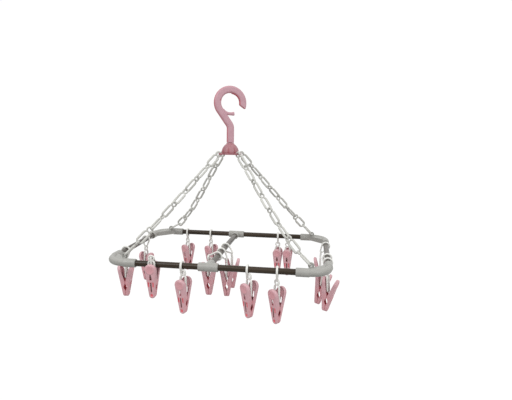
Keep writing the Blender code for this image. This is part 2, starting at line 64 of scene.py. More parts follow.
TUBE_R, TUBE_WALL = 5.5, 0.8
SOCKET_R, SOCKET_BORE_R, SOCKET_DEPTH, SOCKET_COLLAR = 7.8, 5.85, 16.0, 24.0
ELBOW_R, ELBOW_ARM, ELBOW_BEND, WEB_REACH, WEB_HALF = 7.3, 57.0, 33.0, 39.0, 5.2
LOOP_X, LOOP_Y, LOOP_R, LOOP_WIRE, LOOP_RISE = 169.0, 129.0, 4.0, 1.5, 10.0
TEE_X, TEE_HALF, TEE_BRANCH = -10.0, 18.0, 24.0
HOOK_R, HOOK_BAR, HOOK_THICK, HOOK_CENTRE_X = 26.0, 14.0, 11.0, -0.8
HOOK_LEAVE, HOOK_TIP, HOOK_YAW, NECK_BEND, STEM_END = 216.0, -19.0, 27.0, 16.0, -97.4
PIN_R, BARB_R, BARB_TOP, BARB_END = 3.4, 5.4, -101.2, -107.5
DOME_TOP, DOME_BASE, DOME_R, DOME_TOP_R, DOME_WALL = -97.7, -118.0, 17.6, 8.0, 2.4
DOME_FLUTES = 8
PLATE_R, PLATE_TOP, PLATE_THICK = 18.6, -118.3, 3.2
LUG_OUT, LUG_R, LUG_HOLE = 21.5, 5.3, 3.6
WIRE, EYE_HALF, RING_R, LINK_COUNT, LINK_BITE = 1.35, 4.85, 4.5, 8, 0.3
CLIP_EYE = 32.5
COLLAR_R, COLLAR_UP, COLLAR_DROP, COLLAR_FOOT_R = 8.1, -0.5, 17.95, 2.6
JAW_LENGTH, JAW_HEAD_R, JAW_TIP_R, JAW_TIP_X, JAW_HEAD_X = 65.0, 10.4, 5.4, 5.2, 15.6
JAW_SKIN, JAW_PIVOT, JAW_SPRING, SPRING_R = 1.6, 31.0, 40.0, 1.1

X, Y, Z = Vector((1, 0, 0)), Vector((0, 1, 0)), Vector((0, 0, 1))


# --- Materials ----------------------------------------------------------------

def nodes_of(name):
    mat = bpy.data.materials.new(name)
    mat.use_nodes = True
    tree = mat.node_tree
    return mat, tree, tree.nodes["Principled BSDF"]


def node(tree, kind, **values):
    n = tree.nodes.new(kind)
    for key, value in values.items():
        if key in n.inputs:
            n.inputs[key].default_value = value
        else:
            setattr(n, key, value)
    return n


def noise(tree, scale, detail=2.0, stretch=(1, 1, 1)):
    """A noise over object coordinates, its scale per metre."""
    coords = node(tree, "ShaderNodeTexCoord")
    mapping = node(tree, "ShaderNodeMapping")
    mapping.inputs["Scale"].default_value = stretch
    tree.links.new(coords.outputs["Object"], mapping.inputs["Vector"])
    tex = node(tree, "ShaderNodeTexNoise", Scale=scale, Detail=detail)
    tree.links.new(mapping.outputs["Vector"], tex.inputs["Vector"])
    return tex.outputs["Fac"]


def ramp(tree, value, low, high, out_low, out_high):
    n = node(tree, "ShaderNodeMapRange")
    n.inputs["From Min"].default_value = low
    n.inputs["From Max"].default_value = high
    n.inputs["To Min"].default_value = out_low
    n.inputs["To Max"].default_value = out_high
    tree.links.new(value, n.inputs["Value"])
    return n.outputs["Result"]


def mix(tree, factor, a, b, blend="MIX"):
    n = node(tree, "ShaderNodeMix", data_type="RGBA", blend_type=blend)
    if isinstance(factor, (int, float)):
        n.inputs[0].default_value = factor
    else:
        tree.links.new(factor, n.inputs[0])
    for socket, value in ((n.inputs[6], a), (n.inputs[7], b)):
        if isinstance(value, tuple):
            socket.default_value = (*value, 1.0)
        else:
            tree.links.new(value, socket)
    return n.outputs[2]


def plastic(name, face, painted_shade, mottled, rough=0.42, glow=0.0, grain=0.05, scuff=0.06,
            spread=(1.0, 0.35, 0.35)):
    """Satin moulded plastic. The mesh's painted-shade value takes it from the colour of its open
    faces to a stronger, darker colour that is painted shade in hollows, on edges, undersides and
    thick places; a broad noise carries it towards the mottled colour."""
    mat, tree, shader = nodes_of(name)
    attribute = node(tree, "ShaderNodeAttribute", attribute_name="painted_shade")
    broad = ramp(tree, noise(tree, 70, 3), 0.35, 0.7, 0.0, 1.0)
    base = mix(tree, broad, face, mottled)
    # the painted-shade value lays the painted shade colour over the base
    base = mix(tree, attribute.outputs["Fac"], base, painted_shade)
    specks = ramp(tree, noise(tree, 900, 2), 0.3, 0.7, 1.0 - scuff, 1.0 + scuff * 0.5)
    base = mix(tree, 1.0, base, specks, "MULTIPLY")
    tree.links.new(base, shader.inputs["Base Color"])
    tree.links.new(ramp(tree, noise(tree, 260, 4), 0.3, 0.7, rough - 0.07, rough + 0.09),
                   shader.inputs["Roughness"])
    fine = noise(tree, 1500, 3)
    bump = node(tree, "ShaderNodeBump", Strength=grain, Distance=0.0002)
    tree.links.new(fine, bump.inputs["Height"])
    tree.links.new(bump.outputs["Normal"], shader.inputs["Normal"])
    shader.inputs["Specular IOR Level"].default_value = 0.45
    if glow:
        shader.inputs["Subsurface Weight"].default_value = glow
        shader.inputs["Subsurface Radius"].default_value = spread
        shader.inputs["Subsurface Scale"].default_value = 0.004
    return mat


def tube_metal(name, dark, light, along, rough=0.24, metal=0.0, ior=1.62):
    """Dark coated tube with fine drawing marks and longer lighter streaks along it."""
    mat, tree, shader = nodes_of(name)
    stretch = tuple(0.03 if axis == along else 1.0 for axis in "xyz")
    streaks = ramp(tree, noise(tree, 240, 3, stretch), 0.36, 0.68, 0.0, 1.0)
    base = mix(tree, streaks, dark, light)
    lines = noise(tree, 2200, 2, tuple(0.008 if axis == along else 1.0 for axis in "xyz"))
    base = mix(tree, 1.0, base, ramp(tree, lines, 0.3, 0.7, 0.90, 1.06), "MULTIPLY")
    tree.links.new(base, shader.inputs["Base Color"])
    shader.inputs["Metallic"].default_value = metal
    shader.inputs["IOR"].default_value = ior
    tree.links.new(ramp(tree, lines, 0.3, 0.7, rough - 0.04, rough + 0.06),
                   shader.inputs["Roughness"])
    bump = node(tree, "ShaderNodeBump", Strength=0.05, Distance=0.0001)
    tree.links.new(lines, bump.inputs["Height"])
    tree.links.new(bump.outputs["Normal"], shader.inputs["Normal"])
    return mat


# The second colour of each plastic is its painted shade, darker and stronger, laid into hollows,
# edges and undersides; on the clip pink it is a strong red standing in for shade and light
# through the translucent walls.
PINK = plastic("pink_plastic", (0.665, 0.405, 0.44), (0.80, 0.125, 0.16),
               (0.62, 0.365, 0.40), glow=0.0, grain=0.0, scuff=0.02)
HOOK_PINK = plastic("hook_pink_plastic", (0.55, 0.33, 0.38), (0.48, 0.055, 0.085),
                    (0.51, 0.295, 0.345), glow=0.0, grain=0.0, scuff=0.0)
ROSE = plastic("rose_plastic", (0.41, 0.205, 0.23), (0.33, 0.08, 0.10),
               (0.37, 0.17, 0.195), glow=0.0, grain=0.0, scuff=0.0)
WHITE = plastic("grey_white_plastic", (0.365, 0.363, 0.343), (0.25, 0.245, 0.225),
                (0.33, 0.327, 0.307), rough=0.36, glow=0.0, grain=0.0, scuff=0.02,
                spread=(1.0, 1.0, 0.95))
CHAIN = plastic("chain_plastic", (0.60, 0.60, 0.57), (0.44, 0.435, 0.41),
                (0.55, 0.55, 0.52), rough=0.40, glow=0.0, grain=0.0, scuff=0.0,
                spread=(1.0, 1.0, 0.95))
# A lighter copy of the chain plastic for the clips' links and rings: painted light, standing in
# for their glow in the shade of the jaws.
BRIGHTENED_LINK = plastic("link_plastic_painted_light", (0.79, 0.79, 0.76), (0.61, 0.605, 0.575),
               (0.73, 0.73, 0.70), rough=0.40, glow=0.0, grain=0.0, scuff=0.0,
               spread=(1.0, 1.0, 0.95))
# Lit and shaded copies of one tube metal: the tubes along X get a painted darker, less
# reflective copy and those along Y a painted lighter one, for the light each set gets.
TUBES = {"x": tube_metal("tube_metal_x_painted_dark", (0.028, 0.019, 0.012), (0.050, 0.036, 0.024), "x",
                         ior=1.32),
         "y": tube_metal("tube_metal_y_painted_light", (0.060, 0.049, 0.040), (0.085, 0.070, 0.056), "y")}
STEEL = tube_metal("spring_steel", (0.07, 0.052, 0.046), (0.14, 0.11, 0.095), "z", 0.3, 1.0)


# --- Mesh helpers ---------------------------------------------------------------

def new_mesh(verts, faces, painted_shade=None):
    """A mesh in millimetres, welded and with its faces pointing out."""
    bm = bmesh.new()
    layer = bm.verts.layers.float.new("painted_shade")
    made = []
    for i, co in enumerate(verts):
        v = bm.verts.new(co)
        v[layer] = 0.0 if painted_shade is None else float(painted_shade[i])
        made.append(v)
    for face in faces:
        bm.faces.new([made[i] for i in face])
    bmesh.ops.remove_doubles(bm, verts=bm.verts, dist=0.002)
    bmesh.ops.dissolve_degenerate(bm, edges=bm.edges, dist=0.0005)
    bmesh.ops.recalc_face_normals(bm, faces=bm.faces)
    mesh = bpy.data.meshes.new("made")
    bm.to_mesh(mesh)
    bm.free()
    return mesh


def circle(radius, sides, start=0.0):
    a = np.radians(start) + np.arange(sides) * 2 * np.pi / sides
    return np.stack([radius * np.cos(a), radius * np.sin(a)], 1)


def sweep(points, section, up, closed=False, round_ends=0.0, sizes=None):
    """A surface round a flat path. section is (side, up) pairs for the whole
    path or one set per point; up is the normal of the path's plane."""
    pts = np.array([tuple(p) for p in points], float)
    up = np.array(tuple(up), float)
    n = len(pts)
    if closed:
        tangent = np.roll(pts, -1, 0) - np.roll(pts, 1, 0)
    else:
        tangent = np.gradient(pts, axis=0)
    tangent /= np.linalg.norm(tangent, axis=1)[:, None]
    section = np.array(section, float)
    if section.ndim == 2:
        section = np.repeat(section[None], n, 0)
    if sizes is not None:
        section = section * np.array(sizes, float)[:, None, None]
    if round_ends and not closed:
        head, tail = [], []
        for deg in (80, 60, 35):
            a = math.radians(deg)
            head.append((pts[0] - tangent[0] * round_ends * math.sin(a), math.cos(a)))
            tail.append((pts[-1] + tangent[-1] * round_ends * math.sin(a), math.cos(a)))
        tail = tail[::-1]
        pts = np.array([p for p, _ in head] + list(pts) + [p for p, _ in tail])
        tangent = np.array([tangent[0]] * 3 + list(tangent) + [tangent[-1]] * 3)
        section = np.array([section[0] * c for _, c in head] + list(section)
                           + [section[-1] * c for _, c in tail])
        n = len(pts)
    side = np.cross(tangent, up)
    side /= np.linalg.norm(side, axis=1)[:, None]
    rings = (pts[:, None] + section[:, :, :1] * side[:, None]
             + section[:, :, 1:] * up[None, None])
    m = section.shape[1]
    verts = rings.reshape(-1, 3)
    faces = []
    for i in range(n if closed else n - 1):
        j = (i + 1) % n
        for k in range(m):
            l = (k + 1) % m
            faces.append((i * m + k, i * m + l, j * m + l, j * m + k))
    if not closed:
        faces.append(tuple(range(m)))
        faces.append(tuple((n - 1) * m + k for k in reversed(range(m))))
    return new_mesh(verts, faces)


def lathe(profile, sides, axis_start=(0, 0, 0), axis=(0, 0, 1)):
    """Turns (radius, along) points round an axis; the outline is closed."""
    turn = Z.rotation_difference(Vector(axis)).to_matrix().to_4x4()
    place = Matrix.Translation(axis_start) @ turn
    verts, faces = [], []
    n = len(profile)
    for r, z in profile:
        for k in range(sides):
            a = 2 * math.pi * k / sides
            verts.append(place @ Vector((r * math.cos(a), r * math.sin(a), z)))
    for i in range(n):
        j = (i + 1) % n
        for k in range(sides):
            l = (k + 1) % sides
            if profile[i][0] < 1e-6 and profile[j][0] < 1e-6:
                continue
            faces.append((i * sides + k, i * sides + l, j * sides + l, j * sides + k))
    bm = bmesh.new()
    made = [bm.verts.new(v) for v in verts]
    for face in faces:
        bm.faces.new([made[i] for i in face])
    bm.verts.layers.float.new("painted_shade")
    bmesh.ops.remove_doubles(bm, verts=bm.verts, dist=0.002)
    bmesh.ops.dissolve_degenerate(bm, edges=bm.edges, dist=0.0005)
    bmesh.ops.recalc_face_normals(bm, faces=bm.faces)
    mesh = bpy.data.meshes.new("lathe")
    bm.to_mesh(mesh)
    bm.free()
    return mesh


def rod(radius, start, end, sides=40, edge=0.4):
    """A solid round rod with softened ends."""
    start, end = Vector(start), Vector(end)
    length = (end - start).length
    profile = [(0, 0), (radius - edge, 0), (radius - edge * 0.3, edge * 0.3), (radius, edge),
               (radius, length - edge), (radius - edge * 0.3, length - edge * 0.3),
               (radius - edge, length), (0, length)]
    return lathe(profile, sides, start, end - start)


def joined(mesh_list, matrices=None):
    """One mesh from several, each moved by its matrix."""
    bm = bmesh.new()
    bm.verts.layers.float.new("painted_shade")
    for i, mesh in enumerate(mesh_list):
        part = mesh.copy()
        if matrices is not None:
            part.transform(matrices[i])
            if matrices[i].determinant() < 0:
                part.flip_normals()
        bm.from_mesh(part)
        bpy.data.meshes.remove(part)
    out = bpy.data.meshes.new("joined")
    bm.to_mesh(out)
    bm.free()
    return out


def evaluated(obj):
    bpy.context.view_layer.update()
    graph = bpy.context.evaluated_depsgraph_get()
    mesh = bpy.data.meshes.new_from_object(obj.evaluated_get(graph), depsgraph=graph)
    bpy.data.objects.remove(obj, do_unlink=True)
    return mesh


def temp(mesh):
    obj = bpy.data.objects.new("temp", mesh)
    bpy.context.scene.collection.objects.link(obj)
    return obj


def combine(mesh, others, operation):
    """Exact Boolean of a mesh with others, one after another."""
    for other in others:
        obj, tool = temp(mesh), temp(other)
        mod = obj.modifiers.new("combine", "BOOLEAN")
        mod.operation, mod.solver, mod.object = operation, "EXACT", tool
        mesh = evaluated(obj)
        bpy.data.objects.remove(tool, do_unlink=True)
    return mesh


def softened(mesh, voxel, rounds, factor=0.5):
    """Fuses a mesh on a fine grid and relaxes it, so that its inner corners
    get the fillets and its edges the roundness of a moulding."""
    obj = temp(mesh)
    mod = obj.modifiers.new("grid", "REMESH")
    mod.mode, mod.voxel_size, mod.use_smooth_shade = "VOXEL", voxel, True
    smooth = obj.modifiers.new("relax", "SMOOTH")
    smooth.factor, smooth.iterations = factor, rounds
    return evaluated(obj)


def set_painted_shade(mesh, value):
    """Stores the amount of painted shade, from 0 to 1, for every vertex, from its place and
    normal.
    """
    if "painted_shade" in mesh.attributes:
        mesh.attributes.remove(mesh.attributes["painted_shade"])
    layer = mesh.attributes.new("painted_shade", "FLOAT", "POINT")
    for i, vert in enumerate(mesh.vertices):
        layer.data[i].value = min(1.0, max(0.0, value(vert.co, vert.normal)))
    return mesh


def piece(name, mesh, mat, body, stands_for=(), place=None, sharp=40.0, ride=True):
    """Makes a finished piece from a mesh in millimetres."""
    obj = bpy.data.objects.new(name, mesh)
    bpy.context.scene.collection.objects.link(obj)
    if mesh.get("in_metres") is None:
        mesh.transform(Matrix.Scale(0.001, 4))
        mesh["in_metres"] = 1
        mesh.materials.clear()
        mesh.materials.append(mat)
        mesh.shade_smooth()
        if sharp:
            mesh.set_sharp_from_angle(angle=math.radians(sharp))
    if place is not None:
        obj.matrix_world = place
    if ride:
        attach(obj, body)
    if stands_for:
        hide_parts(*stands_for)
    return obj


def arc(centre, radius, start, end, steps):
    """Points of an arc in the XZ plane, angles in degrees from +X towards +Z."""
    out = []
    for i in range(steps + 1):
        a = math.radians(start + (end - start) * i / steps)
        out.append(Vector((centre[0] + radius * math.cos(a), 0.0,
                           centre[1] + radius * math.sin(a))))
    return out


def turned(degrees, axis):
    return Matrix.Rotation(math.radians(degrees), 4, axis)


def rounded_section(width, thick, corner, steps=5, crown=0.0):
    """A rounded rectangle as (side, up) pairs, its faces crowned a little."""
    out = []
    for quarter in range(4):
        for i in range(steps + 1):
            a = math.radians(90 * quarter + 90 * i / steps)
            cx = (width / 2 - corner) * (1 if quarter in (0, 3) else -1)
            cy = (thick / 2 - corner) * (1 if quarter in (0, 1) else -1)
            out.append((cx + corner * math.cos(a), cy + corner * math.sin(a)))
        a, b = out[-1], None
        nxt = 90 * (quarter + 1)
        cx = (width / 2 - corner) * (1 if quarter + 1 in (3, 4) else -1)
        cy = (thick / 2 - corner) * (1 if quarter + 1 in (1, 4) else -1)
        b = (cx + corner * math.cos(math.radians(nxt)),
             cy + corner * math.sin(math.radians(nxt)))
        for k in (1, 2, 3):
            t = k / 4
            bulge = crown * math.sin(math.pi * t)
            u, v = a[0] + (b[0] - a[0]) * t, a[1] + (b[1] - a[1]) * t
            if quarter in (0, 2):
                v += bulge * (1 if quarter == 0 else -1)
            else:
                u += bulge * (-1 if quarter == 1 else 1)
            out.append((u, v))
    return np.array(out)


# --- Hook -------------------------------------------------------------------

def build_hook():
    centre = (HOOK_CENTRE_X, -(HOOK_R - HOOK_BAR / 2))
    points = arc(centre, HOOK_R, HOOK_TIP, HOOK_LEAVE, 72)
    leave = math.radians(HOOK_LEAVE)
    direction = Vector((-math.sin(leave), 0.0, math.cos(leave)))
    start = points[-1]
    corner = start + direction * (-start.x / direction.x)
    bend = math.acos(direction.dot(Vector((0, 0, -1))))
    trim = NECK_BEND * math.tan(bend / 2)
    bend_start = corner - direction * trim
    side = Vector((direction.z, 0.0, -direction.x))
    middle = bend_start + side * NECK_BEND
    first = math.degrees(math.atan2(-side.z, -side.x))
    for i in range(1, 10):
        points.append(start + (bend_start - start) * i / 10)
    points += arc((middle.x, middle.z), NECK_BEND, first, first - math.degrees(bend), 14)
    low = points[-1]
    for i in range(1, 13):
        points.append(low + (Vector((0, 0, STEM_END)) - low) * i / 12)
    section = rounded_section(HOOK_BAR, HOOK_THICK, 3.6, 5, 0.0)
    along = (points[1] - points[0]).normalized()
    body = sweep(points, section, Y)
    tip_points = [points[0] - along * d for d in (2.6, 2.2, 1.4, 0.5, -0.6)]
    tip = sweep(tip_points, section, Y, sizes=[0.62, 0.80, 0.92, 0.985, 1.0])
    inner = HOOK_R - HOOK_BAR / 2
    rib = sweep(arc(centre, inner + 1.2, 20, 80, 24),
                rounded_section(5.2, 5.0, 1.2, 3), Y, round_ends=1.2,
                sizes=[0.55 + 0.45 * i / 24 for i in range(25)])
    tongue = arc(centre, inner + 2.4, 222, 270, 18)
    tongue += [Vector((centre[0] + 4.2, 0, centre[1] - 21.4)),
               Vector((centre[0] + 7.4, 0, centre[1] - 21.0))]
    sizes = [1.15 - 0.15 * min(1.0, i / 9) for i in range(len(tongue))]
    sizes[-2:] = [1.12, 1.3]
    tongue = sweep(tongue, rounded_section(5.8, 8.0, 1.9, 3), Y, round_ends=0.8, sizes=sizes)
    pin = rod(PIN_R, (0, 0, STEM_END + 3), (0, 0, BARB_END + 1.6))
    barb = lathe([(0, BARB_END), (PIN_R - 0.4, BARB_END), (BARB_R, BARB_TOP), (0, BARB_TOP)], 40)
    # the free end is cut on the slant, its tip on the outer side
    out = (points[0] - Vector((centre[0], 0, centre[1]))).normalized()
    slant = (along + out * 0.30).normalized()
    cut = rod(24, points[0] + out * (HOOK_BAR / 2) - along * 0.6,
              points[0] + out * (HOOK_BAR / 2) - along * 0.6 - slant * 16, 48)
    bar = combine(body, [tip], "UNION")
    bar = combine(bar, [cut], "DIFFERENCE")
    solid = softened(joined([bar, rib, tongue, pin, barb]), 0.42, 14)
    # a moulding mark at the start of the bow, on its inner side
    mark = Vector((centre[0] - 20.6, 0, centre[1] + 4.6))
    for vert in solid.vertices:
        if abs(vert.co.y) > 3.5:
            d = math.hypot(vert.co.x - mark.x, vert.co.z - mark.z)
            if d < 2.6:
                vert.co.y -= math.copysign(0.9 * (0.5 + 0.5 * math.cos(math.pi * d / 2.6)),
                                           vert.co.y)

    def painted_shade(co, normal):
        # painted shade: the flanks of the bar darker and stronger in colour, the inner side of
        # the bow darker, the moulding mark's dimple darker
        flank = 1.0 - abs(normal.y)
        r = math.hypot(co.x - centre[0], co.z - centre[1])
        inside = 0.45 if r < inner + 1.0 and -12 < math.degrees(
            math.atan2(co.z - centre[1], co.x - centre[0])) < 80 else 0.0
        d = math.hypot(co.x - mark.x, co.z - mark.z)
        spot = 0.8 * max(0.0, 1.0 - d / 2.4) if abs(co.y) > 3.0 else 0.0
        return 0.04 + 0.86 * flank ** 1.5 + inside + spot

    set_painted_shade(solid, painted_shade)
    solid.transform(turned(HOOK_YAW, "Z"))
    piece("hook_moulding", solid, HOOK_PINK, "hook", ["hook"], sharp=0)


# --- Hub --------------------------------------------------------------------

def build_hub():
    height = DOME_TOP - DOME_BASE
    rows, sides = 40, 192
    inner_r = DOME_R - DOME_WALL
    outer = []
    for deg in (90, 60, 30):
        a = math.radians(deg)
        outer.append((DOME_TOP_R - 1.3 + 1.1 * math.cos(a), DOME_TOP - 1.2 + 1.2 * math.sin(a)))
    for i in range(rows + 1):
        t = 0.12 + 0.88 * i / rows
        outer.append((DOME_R * math.sqrt(1 - (1 - t) ** 2) - 0.12, DOME_TOP - height * t))
    roof = BARB_TOP + 0.3
    profile = outer + [(DOME_R - 0.6, DOME_BASE - 0.0), (inner_r + 0.3, DOME_BASE),
                       (inner_r, DOME_BASE + 0.3), (inner_r - 0.6, DOME_BASE + 6),
                       (8.0, roof), (PIN_R + 0.5, roof), (PIN_R + 0.5, DOME_TOP)]
    dome = lathe(profile, sides)
    for vert in dome.vertices:
        r = math.hypot(vert.co.x, vert.co.y)
        low = (DOME_TOP - vert.co.z) / height
        if r > inner_r * 0.5 + 0.2 and low > 0.25 and r > inner_r - 5 + 5 * low:
            phase = math.atan2(vert.co.y, vert.co.x) * DOME_FLUTES
            groove = (0.5 + 0.5 * math.cos(phase)) ** 3
            if r > inner_r + 0.2 or low < 0.55:
                dip = 1.0 - 0.055 * min(1.0, max(0.0, (low - 0.25) / 0.35)) * groove
                vert.co.x *= dip
                vert.co.y *= dip

    def painted_shade(co, normal):
        # painted shade in the flutes, towards the lower rim and on the inner faces
        low = (DOME_TOP - co.z) / height
        phase = math.atan2(co.y, co.x) * DOME_FLUTES
        groove = (0.5 + 0.5 * math.cos(phase)) ** 4
        fade = min(1.0, max(0.0, (low - 0.3) / 0.35))
        rim = max(0.0, (low - 0.86) / 0.14)
        inside = 0.7 if normal.x * co.x + normal.y * co.y < -0.01 else 0.0
        return 0.12 + 0.75 * groove * fade + 0.5 * rim + inside

    set_painted_shade(dome, painted_shade)
    piece("hub_dome_moulding", dome, ROSE, "hub", ["hub_dome"], sharp=50)

    low = PLATE_TOP - PLATE_THICK
    solids = [rod(PLATE_R, (0, 0, low), (0, 0, PLATE_TOP), 96, 0.3)]
    holes = []
    for quarter in range(4):
        a = math.radians(45 + 90 * quarter)
        x, y = LUG_OUT * math.cos(a), LUG_OUT * math.sin(a)
        solids.append(rod(LUG_R, (x, y, low), (x, y, PLATE_TOP), 48, 0.3))
        holes.append(rod(LUG_HOLE, (x, y, low - 2), (x, y, PLATE_TOP + 2), 40, 0.3))
    for i in range(8):
        a = math.radians(22.5 + 45 * i)
        holes.append(rod(1.6, (10.5 * math.cos(a), 10.5 * math.sin(a), low - 2),
                         (10.5 * math.cos(a), 10.5 * math.sin(a), low + 1.2), 16, 0.2))
    plate = combine(solids[0], solids[1:], "UNION")
    plate = combine(plate, holes, "DIFFERENCE")
    plate = softened(plate, 0.32, 3)
    # painted shade on the side walls and underneath round the middle holes
    set_painted_shade(plate, lambda co, normal: 0.08 + 0.30 * (1 - abs(normal.z))
             + (0.25 if co.z < low + 1.4 and math.hypot(co.x, co.y) < 12.5 else 0.0))
    piece("hub_plate_moulding", plate, ROSE, "hub", ["hub_plate"], sharp=0)


# --- Snap links -----------------------------------------------------------------

def oval(side, up, steps=14):
    return [(side * math.cos(2 * math.pi * k / steps), up * math.sin(2 * math.pi * k / steps))
            for k in range(steps)]


def snap_link(eye_length):
    """A long eye with a small open ring on top, in the XZ plane, hung from the
    top wire of the ring at the origin. The eye's long sides are flat outside
    and thicker than its ends; the ring ends in a nub short of the eye."""
    half_eye = EYE_HALF + 0.2
    top = -2 * RING_R
    bottom = top - eye_length
    straight = eye_length / 2 - half_eye
    eye, grown = [], []

    def add(point, share):
        eye.append(point)
        grown.append(share)

    for p in arc((0, top - half_eye), half_eye, 0, 180, 20):
        add(p, min(1.0, abs(p.x) / half_eye) ** 3)
    for i in range(1, 8):
        add(Vector((-half_eye, 0, top - half_eye - 2 * straight * i / 8)), 1.0)
    for p in arc((0, bottom + half_eye), half_eye, 180, 360, 20):
        add(p, min(1.0, abs(p.x) / half_eye) ** 3)
    for i in range(1, 8):
        add(Vector((half_eye, 0, bottom + half_eye + 2 * straight * i / 8)), 1.0)
    closed = sweep(eye, [oval(1.35 + 0.7 * g, 1.55 + 0.45 * g) for g in grown], Y, closed=True)
    ring = arc((EYE_HALF - RING_R, -RING_R), RING_R, -80, 206, 40)
    fat = [min(1.0, abs(p.x - ring[20].x) / RING_R) ** 3 for p in ring]
    opened = sweep(ring, [oval(1.35 + 0.5 * g, 1.6 + 0.25 * g) for g in fat], Y,
                   round_ends=1.4)
    nub = lathe([(0, -2.3)] + [(2.3 * math.cos(math.radians(a)), 2.3 * math.sin(math.radians(a)))
                               for a in range(-60, 61, 20)] + [(0, 2.3)], 14)
    nub.transform(Matrix.Translation(ring[-1]))
    link = combine(closed, [opened, nub], "UNION")
    # painted shade on the undersides and the flat sides of the wire
    set_painted_shade(link, lambda co, normal: 0.10 + 0.25 * max(0.0, -normal.z) ** 2
             + 0.22 * abs(normal.y) ** 4)
    return link


# How far each chain hangs below the straight line between its ends, in mm. The
# weight is mostly on two of them, so the other two are a little slack.
SAG = {"front_left": 4.0, "front_right": 15.0, "back_left": 24.0, "back_right": 3.0}


def hanging(upper, lower, sag):
    """A slack chain's line as (distance along it, point) pairs; its bend is
    sharper towards its lower end."""
    out, walked, last = [], 0.0, upper
    for k in range(401):
        t = k / 400
        here = upper.lerp(lower, t) - Z * (sag * 5.66 * t ** 1.6 * (1.0 - t))
        walked += (here - last).length
        out.append((walked, here))
        last = here
    return out


def point_at(line, distance):
    for (d0, a), (d1, b) in zip(line, line[1:]):
        if distance <= d1:
            return a.lerp(b, (distance - d0) / (d1 - d0))
    return line[-1][1]


def build_chains():
    body_of_chain = "hub"
    for front, side_y in (("front", -1), ("back", 1)):
        for left, side_x in (("left", -1), ("right", 1)):
            hole = Vector((side_x * LUG_OUT * math.sqrt(0.5),
                           side_y * LUG_OUT * math.sqrt(0.5), PLATE_TOP - PLATE_THICK / 2))
            loop = Vector((side_x * LOOP_X, side_y * LOOP_Y, FRAME_Z + LOOP_RISE))
            down = (loop - hole).normalized()
            flat = Vector((down.x, down.y, 0)).normalized()
            edge = hole + flat * LUG_HOLE + Vector((0, 0, PLATE_THICK / 2))
            upper = edge + down * (RING_R - WIRE - 0.36) - down * RING_R
            lower = (loop - Vector((down.x, 0, down.z)) * 0.3
                     + Vector((0, side_y * 0.8, 0)))
            line = hanging(upper, lower, SAG[f"{front}_{left}"])
            span = line[-1][0]
            step = 2 * WIRE - LINK_BITE
            length = (span + (LINK_COUNT - 1) * step) / LINK_COUNT
            down = (lower - point_at(line, span - length)).normalized()
            across = down.cross(Z).normalized()
            flat = across.cross(-down).normalized()
            through = Y - down * down.y
            roll = math.degrees(math.atan2(through.dot(across), through.dot(flat)))
            full = 90 * (LINK_COUNT - 1)
            extra = (roll - full + 90) % 180 - 90
            link = snap_link(length - 2 * RING_R)
            link.transform(Matrix.Scale(1.14, 4, (1, 0, 0)))
            # the middle of the chain hangs with its links turned half open to the front
            opened = 27.0 if side_x == side_y else -8.0
            shares = (0.0, 0.5, 1.0, 1.0, 1.0, 0.65, 0.3, 0.0)
            places = []
            for i in range(LINK_COUNT):
                t = i / (LINK_COUNT - 1)
                angle = full * t + shares[i] * opened + max(0.0, 1.75 * t - 0.75) * extra
                top = point_at(line, i * (length - step))
                way = (point_at(line, i * (length - step) + length) - top).normalized()
                base = Matrix((across.cross(-way), across, -way)).transposed().to_4x4()
                places.append(Matrix.Translation(top) @ base @ turned(angle, "Z"))
            chain = piece(f"chain_{front}_{left}_links", joined([link] * LINK_COUNT, places),
                          CHAIN, body_of_chain, [f"chain_{front}_{left}"],
                          sharp=50)
            top = (PLATE_TOP - PLATE_THICK / 2) / 1000
            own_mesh(chain)


# --- Frame ----------------------------------------------------------------------

